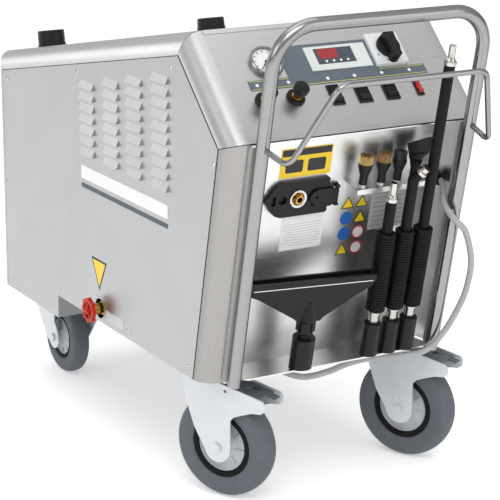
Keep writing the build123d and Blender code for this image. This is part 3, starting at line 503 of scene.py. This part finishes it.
# ---------------------------------------------------------------- fascia graphics
MARK_XS = (-167, -104, -23, 33, 91, 151)
VALVE_Y = 82                       # the two valves stand below the first two marks
DISPLAY_TOP = 1.6                  # top of the display frame, which carries window and keys
SWITCH_X, SWITCH_Y, SWITCH_RADIUS = 121, 163, 29
GAUGE_X, GAUGE_Y = -131, 160
DIAL_TOP = 3.3

plate("fascia_strip", round_box(-183, 187, 104.5, 126, radius=2), SLATE, FASCIA)
plate("fascia_block", round_box(-100, 90, 126, 191, radius=3), SLATE, FASCIA)
# x from, x to, lower edge
for i, (x0, x1, y) in enumerate(((-180, 184, 107.0), (-180, -100, 123.2), (90, 184, 123.2))):
    plate(f"fascia_line_{i}", box(x0, x1, y, y + 0.9), LIME, FASCIA, SECOND, thick=0.1)
for i, x in enumerate(MARK_XS):
    plate(f"fascia_mark_{i}", disc(x, 115.5, 3.4, 20), WHITE, FASCIA, SECOND, thick=0.1)
plate("display_frame", round_box(-28, 51, 145, 180, radius=2), DARK_SLATE, FASCIA,
      low=DISPLAY_TOP - 0.35, thick=0.35)
plate("display_red", round_box(-21, 18, 156, 177, radius=1.5), DISPLAY, FASCIA, DISPLAY_TOP)
for i in range(4):
    plate(f"display_key_{i}", disc(-10 + 15 * i, 150.5, 2.4, 20), WHITE, FASCIA,
          DISPLAY_TOP, thick=0.4)
for i, degrees in enumerate((-60, -20, 20, 60)):
    a = math.radians(degrees)
    x = SWITCH_X + SWITCH_RADIUS * math.sin(a)
    y = SWITCH_Y - SWITCH_RADIUS * math.cos(a)
    plate(f"switch_mark_{i}", disc(x, y, 1.6, 16), INK, FASCIA, low=8.5)
plate("gauge_dial", disc(GAUGE_X, GAUGE_Y, 27.6, 64), WHITE, FASCIA,
      low=DIAL_TOP - 0.3, thick=0.3)
for i in range(11):
    a = math.radians(-135 + 27 * i)
    radial = Vector((math.sin(a), math.cos(a)))
    half_width = Vector((radial.y, -radial.x)) * 0.6
    start = Vector((GAUGE_X, GAUGE_Y)) + radial * 20
    end = Vector((GAUGE_X, GAUGE_Y)) + radial * 25
    plate(f"gauge_tick_{i}", [tuple(start - half_width), tuple(start + half_width),
                              tuple(end + half_width), tuple(end - half_width)],
          INK, FASCIA, DIAL_TOP, thick=0.15)

GLAND_RING = [(14.7, 0.1), (17.4, 0.1), (17.4, 3.2), (14.9, 6.2), (9.2, 6.4), (9.2, 6.1),
              (14.5, 6.05)]        # (radius, z)
for i, x in enumerate(MARK_XS[:2]):
    lathe(f"gland_ring_{i}", GLAND_RING, BLACK, "frame",
          FASCIA @ Matrix.Translation((x, VALVE_Y, 0)), 48)

# ---------------------------------------------------------------- bay labels
plate("notice_yellow", round_box(-131, -25, 366, 422, radius=2), YELLOW, BAY)
plate("notice_header", round_box(-129, -27, 407, 420, radius=1), INK, BAY, SECOND)
for tag, x0, x1 in (("a", -120, -84), ("b", -74, -37)):
    plate(f"notice_figure_{tag}", round_box(x0, x1, 375, 399, radius=4), INK, BAY,
          SECOND, thick=0.1)

PALE_X0, PALE_X1 = -113, -25
plate("notice_pale", round_box(PALE_X0, PALE_X1, 222, 295, radius=1.5), WHITE, BAY)
pale_middle = (PALE_X0 + PALE_X1) / 2
for i, half in enumerate((40, 38, 41, 34, 40, 39, 36, 41, 28)):
    y = 272 - i * 5.2
    plate(f"notice_pale_row_{i}", box(pale_middle - half, pale_middle + half, y, y + 1.3),
          SILVER, BAY, SECOND, thick=0.07)

# Two columns of signs, from the top row down: (left, right)
ICON_ROWS = (("triangle", "triangle"), ("blue", "triangle"), ("blue", "red"), ("triangle", "red"))
for i in range(8):
    x, y = (24, 54)[i % 2], 300 - 31 * (i // 2)
    kind = ICON_ROWS[i // 2][i % 2]
    if kind == "triangle":
        plate(f"icon_{i}", [(x - 14, y - 11), (x + 14, y - 11), (x, y + 13)], INK, BAY)
        plate(f"icon_in_{i}", [(x - 11, y - 9.2), (x + 11, y - 9.2), (x, y + 9.5)],
              YELLOW, BAY, SECOND, thick=0.1)
    elif kind == "blue":
        plate(f"icon_{i}", disc(x, y, 13, 40), BLUE, BAY)
    else:
        plate(f"icon_{i}", disc(x, y, 13, 40), LABEL_RED, BAY)
        plate(f"icon_in_{i}", disc(x, y, 10.5, 40), WHITE, BAY, SECOND, thick=0.1)

RATING_X0, RATING_X1, RATING_Y0 = 74, 164, 238
plate("rating_plate", round_box(RATING_X0, RATING_X1, RATING_Y0, 325, radius=2), SILVER, BAY)
for i in range(8):
    y = RATING_Y0 + 8 + i * 9.2
    plate(f"rating_row_{i}", box(RATING_X0 + 6, RATING_X1 - 6, y, y + 1.0), SLATE, BAY,
          SECOND, thick=0.07)

# ---------------------------------------------------------------- coupling and squeegee
COUPLING_COLLAR = [(12.3, 9.0), (12.3, 10.6), (12.9, 11.0), (16.6, 11.0), (17.3, 10.4),
                   (17.3, 8.3), (17.0, 8.3), (17.0, 10.05), (12.6, 10.05), (12.6, 9.0)]
lathe("coupling_collar", COUPLING_COLLAR, NICKEL, "frame",
      BAY @ Matrix.Translation((-91, 327, 0)), 72)
squeegee_frame = (up_bay(-77) @ Matrix.Rotation(math.radians(-6.6), 4, "Z")
                  @ Matrix.Rotation(math.pi / 2, 4, "X"))
plate("squeegee_strip", box(-117, 117, 184.8, 186.6), NICKEL, squeegee_frame,
      low=13.05, thick=0.4, body="squeegee")

# ---------------------------------------------------------------- wheels
# The front wheels are casters, swivelled and trailing; the rear wheels are fixed.
FRONT_RADIUS, REAR_RADIUS = 100, 80
FRONT_HALF_WIDTH, REAR_HALF_WIDTH = 24, 19
FRONT_PIVOT_X, FRONT_PIVOT_Y = 202, -257.0
CASTER_TRAIL, CASTER_YAW = 45.0, 27
REAR_X, REAR_Y = 152, 459.0

# Half outlines as (radius, z along the axle) at front wheel size
TYRE_HALF = ((61, 19), (62.5, 21.5), (66, 22.4), (72, 23.6), (76, 24), (85, 24), (90, 23),
             (94.5, 19.5), (97.6, 15), (99.4, 8), (99.95, 0))
HUB_HALF = ((6.05, 28.5), (13, 28.5), (14, 25), (19, 15), (27, 9))    # same on all wheels
RING_HALF = ((49.6, 12), (49.6, 18.2), (52, 19.4), (59, 19.8), (61.2, 19), (61.2, 12))


def mirrored(half):
    return [(r, -z) for r, z in reversed(half)]


def rib_outline(degrees, outer):
    """Radial bar from the hub to the outer radius."""
    a = math.radians(degrees)
    c, s = math.cos(a), math.sin(a)
    return [(r * c - w * s, r * s + w * c)
            for r, w in ((14, 1.2), (outer, 1.2), (outer, -1.2), (14, -1.2))]


def build_wheel(tag, x, y, yaw, radius, half_width):
    matrix = (Matrix.Translation(Vector((x, y, radius)) / 1000)
              @ Matrix.Rotation(math.radians(yaw), 4, "Z")
              @ Matrix.Rotation(math.pi / 2, 4, "Y") @ MM)
    body = "wheel_" + tag
    size = radius / FRONT_RADIUS
    width = half_width / FRONT_HALF_WIDTH

    half = [(r * size, z * width) for r, z in TYRE_HALF]
    tyre = lathe("tyre_body_" + tag, fillet(half + mirrored(half[:-1]), 1.6, steps=3),
                 TYRE, body, matrix, 128)
    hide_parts("tyre_" + tag)

    half = list(HUB_HALF) + [(40 * size, 7.5), (46 * size, 10 * size),
                             (48.5 * size, 15.5 * width), (50 * size, 17.5 * width)]
    rim = lathe("rim_body_" + tag, fillet(half + mirrored(half), 1.2, steps=3),
                RIM, body, matrix, 96)
    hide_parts("rim_" + tag)

    for face, sign, rib_low in (("a", 1, 6.5), ("b", -1, -11)):
        ring = [(r * size, sign * (z * width)) for r, z in RING_HALF]
        lathe(f"rim_ring_{tag}_{face}", fillet(ring, 0.8, steps=2), DUST_RING, body, matrix, 96)
        for k in range(8):
            plate(f"rim_rib_{tag}_{face}_{k}", rib_outline(45 * k + 10, 46 * size), RIM,
                  matrix, low=rib_low, thick=4.5, body=body)


swivel = math.radians(CASTER_YAW)
for side, sign in (("left", -1), ("right", 1)):
    build_wheel("front_" + side, sign * FRONT_PIVOT_X + CASTER_TRAIL * math.sin(swivel),
                FRONT_PIVOT_Y - CASTER_TRAIL * math.cos(swivel), CASTER_YAW,
                FRONT_RADIUS, FRONT_HALF_WIDTH)
    build_wheel("rear_" + side, sign * REAR_X, REAR_Y, 0, REAR_RADIUS, REAR_HALF_WIDTH)

# ---------------------------------------------------------------- nickel fittings on the lances
LANCE_XS = {"lance_short": 71, "lance_angled": 112, "lance_long": 151}
NIPPLE_LENGTH = 32
AXIS = 0.01                        # near-zero radius that closes a solid on its axis

for name, base in (("lance_short", 330), ("lance_long", 582)):
    matrix = up_bay(LANCE_XS[name])
    tip = base + NIPPLE_LENGTH + 0.3
    lathe(name + "_nipple",
          [(AXIS, base + 2), (9.2, base + 2), (9.2, base + 5), (8.0, base + 7),
           (6.2, base + 12), (6.2, tip), (AXIS, tip)], NICKEL, name, matrix, 48)
    lathe(name + "_collar",
          [(10.0, base - 3), (11.3, base - 3), (11.3, base + 3.3), (10.0, base + 3.3)],
          NICKEL, name, matrix, 48)
FERRULE = [(6.6, 81), (9.5, 81), (10.5, 84), (10.5, 99), (13.3, 104), (13.3, 106.5), (6.6, 106.5)]
for name, x in LANCE_XS.items():
    lathe(name + "_ferrule", FERRULE, NICKEL, name, up_bay(x), 48)
tip_frame = (up_bay(LANCE_XS["lance_angled"], along=364)
             @ Matrix.Rotation(math.radians(-50), 4, "Z")
             @ Matrix.Rotation(math.radians(38), 4, "Y"))
lathe("lance_angled_tip",
      [(AXIS, 19.6), (11.3, 19.6), (11.3, 25.3), (7.9, 25.6), (7.9, 34.4), (AXIS, 34.4)],
      NICKEL, "lance_angled", tip_frame, 48)

# ---------------------------------------------------------------- bristles
TUFT = [(11.66, 45.2), (11.8, 45.2), (12.2, 60.4), (6.6, 60.4), (6.6, 60.1), (12.02, 60.1)]
OUTER_RING = (12.25, 46)           # (radius, bristle count), outside the tuft
INNER_RINGS = ((11.2, 64), (9.6, 54), (8.0, 44), (6.0, 32), (3.5, 20))
BRISTLE_HALF = 0.42                # half diagonal of a bristle's square foot
rng = random.Random(7)


def bristle_mesh(rings):
    """Thin four-sided spikes standing in rings, each leaning a little."""
    verts, faces = [], []
    for ring, count in rings:
        outside = ring > 12
        for k in range(count):
            a = 2 * math.pi * (k + rng.random() * 0.6) / count
            foot = Vector((ring * math.cos(a), ring * math.sin(a), 45.5 if outside else 44))
            lean = rng.uniform(1.0, 1.08) if outside else rng.uniform(0.9, 1.10)
            top = Vector((ring * lean * math.cos(a + rng.uniform(-0.06, 0.06)),
                          ring * lean * math.sin(a), rng.uniform(59.0, 62.5)))
            first = len(verts)
            for centre, r in ((foot, BRISTLE_HALF), (top, BRISTLE_HALF * 0.8)):
                for q in range(4):
                    turn = math.pi / 2 * q
                    verts.append(centre + Vector((r * math.cos(turn), r * math.sin(turn), 0)))
            for q in range(4):
                n = (q + 1) % 4
                faces.append((first + q, first + n, first + 4 + n, first + 4 + q))
            faces.append((first + 4, first + 5, first + 6, first + 7))
    return verts, faces


# The nylon brush has no tuft or outer ring: the scraper stands close beside it.
for name, x, wire, tuft in (("brush_brass", 30, BRASS_WIRE, BRASS_TUFT),
                            ("brush_bronze", 69, BRONZE_WIRE, BRONZE_TUFT),
                            ("brush_nylon", 104, NYLON, None)):
    matrix = up_bay(x, along=343.4, out=27)
    rings = INNER_RINGS
    if tuft:
        lathe(name + "_tuft", TUFT, tuft, name, matrix, 48)
        rings = (OUTER_RING,) + INNER_RINGS
    verts, faces = bristle_mesh(rings)
    add_mesh(name + "_bristles", verts, faces, wire, name, matrix)

# ---------------------------------------------------------------- shading of the CAD pieces
for piece in nodes.values():
    if piece.hide_render:
        continue
    for face in piece.data.polygons:
        face.use_smooth = True
    piece.data.set_sharp_from_angle(angle=math.radians(28))


# ---------------------------------------------------------------- studio floor
def floor_material():
    material, tree, shader = new_material("studio_floor")
    rough = add_range(tree, add_noise(tree, 3.0, detail=2.0), 0.75, 0.85)
    tree.links.new(rough, shader.inputs["Roughness"])
    shader.inputs["Base Color"].default_value = (0.93, 0.93, 0.93, 1)
    shader.inputs["Emission Color"].default_value = (1, 1, 1, 1)
    shader.inputs["Emission Strength"].default_value = 0.36
    shader.inputs["Specular IOR Level"].default_value = 0.1
    return material


def build_floor(half=30, z=-0.0005):
    material = floor_material()
    mesh = bpy.data.meshes.new("studio_floor")
    mesh.from_pydata([(x, y, z) for x, y in box(-half, half, -half, half)], [], [(0, 1, 2, 3)])
    mesh.materials.append(material)
    obj = bpy.data.objects.new("studio_floor", mesh)
    scene.collection.objects.link(obj)


build_floor()

# ---------------------------------------------------------------- lights
# Name, location, target, (width, height), watts
LIGHTS = (
    ("key", (-1.2, -2.6, 3.4), (0, 0, 0.4), (2.4, 1.8), 45),
    ("front_fill", (1.6, -3.6, 1.6), (0, -0.3, 0.5), (2.0, 2.2), 16),
    ("left_soft", (-4.0, -1.2, 2.2), (-0.2, -0.2, 0.6), (2.0, 1.6), 22),
    ("rear_left_card", (-2.4, 3.9, 1.5), (-0.3, 0, 0.6), (3.0, 1.6), 20),
    ("top", (0, 0.6, 3.6), (0, 0, 0.5), (3.0, 3.0), 34),
)
for name, location, target, size, watts in LIGHTS:
    light = bpy.data.lights.new(name, "AREA")
    light.shape = "RECTANGLE"
    light.size, light.size_y = size
    light.energy = watts
    obj = bpy.data.objects.new(name, light)
    obj.location = location
    aim = Vector(target) - Vector(location)
    obj.rotation_euler = aim.to_track_quat("-Z", "Y").to_euler()
    scene.collection.objects.link(obj)

# ---------------------------------------------------------------- world
# (position, grey level) from straight down to straight up, darkest near the horizon
SKY_ENDS = ((0.0, 0.8), (1.0, 1.0))
SKY_BETWEEN = ((0.49, 0.66), (0.52, 0.46), (0.58, 0.74), (0.70, 0.97))


def build_world():
    """Graded sky for light and reflections; the camera itself sees plain white."""
    world = bpy.data.worlds.new("studio")
    scene.world = world
    world.use_nodes = True
    tree = world.node_tree
    sky = tree.nodes["Background"]
    sky.inputs["Strength"].default_value = 0.72
    coords = tree.nodes.new("ShaderNodeTexCoord")
    split = tree.nodes.new("ShaderNodeSeparateXYZ")
    tree.links.new(coords.outputs["Generated"], split.inputs[0])
    grade = tree.nodes.new("ShaderNodeValToRGB")
    stops = grade.color_ramp.elements
    for stop, (position, grey) in zip(stops, SKY_ENDS):
        stop.position = position
        stop.color = (grey, grey, grey, 1)
    for position, grey in SKY_BETWEEN:
        stops.new(position).color = (grey, grey, grey, 1)
    height = add_range(tree, split.outputs["Z"], 0.0, 1.0, from_low=-1.0, from_high=1.0)
    tree.links.new(height, grade.inputs[0])
    tree.links.new(grade.outputs[0], sky.inputs["Color"])
    plain = tree.nodes.new("ShaderNodeBackground")
    plain.inputs["Color"].default_value = (1.0, 1.0, 1.0, 1)
    plain.inputs["Strength"].default_value = 1.0
    rays = tree.nodes.new("ShaderNodeLightPath")
    choose = tree.nodes.new("ShaderNodeMixShader")
    tree.links.new(rays.outputs["Is Camera Ray"], choose.inputs[0])
    tree.links.new(sky.outputs[0], choose.inputs[1])
    tree.links.new(plain.outputs[0], choose.inputs[2])
    tree.links.new(choose.outputs[0], tree.nodes["World Output"].inputs["Surface"])


build_world()
scene.view_settings.view_transform = "Standard"


# ---------------------------------------------------------------- camera
def build_camera(location, lens, yaw, pitch, roll):
    """Yaw turns from +Y about Z, pitch tilts up, roll turns about the view; in degrees."""
    yaw, pitch, roll = math.radians(yaw), math.radians(pitch), math.radians(roll)
    forward = Vector((-math.sin(yaw) * math.cos(pitch), math.cos(yaw) * math.cos(pitch),
                      math.sin(pitch)))
    level = forward.cross(Vector((0, 0, 1))).normalized()
    upward = level.cross(forward)
    right = level * math.cos(roll) + upward * math.sin(roll)
    top = -level * math.sin(roll) + upward * math.cos(roll)
    camera = bpy.data.cameras.new("camera")
    camera.sensor_width = 36.0
    camera.lens = lens
    camera.clip_end = 100.0
    obj = bpy.data.objects.new("camera", camera)
    matrix = Matrix((right, top, -forward)).transposed().to_4x4()
    matrix.translation = Vector(location)
    obj.matrix_world = matrix
    scene.collection.objects.link(obj)
    scene.camera = obj


build_camera(location=(-1.7895, -3.0990, 1.4030), lens=135.13,
             yaw=-30.55, pitch=-16.12, roll=0.51)
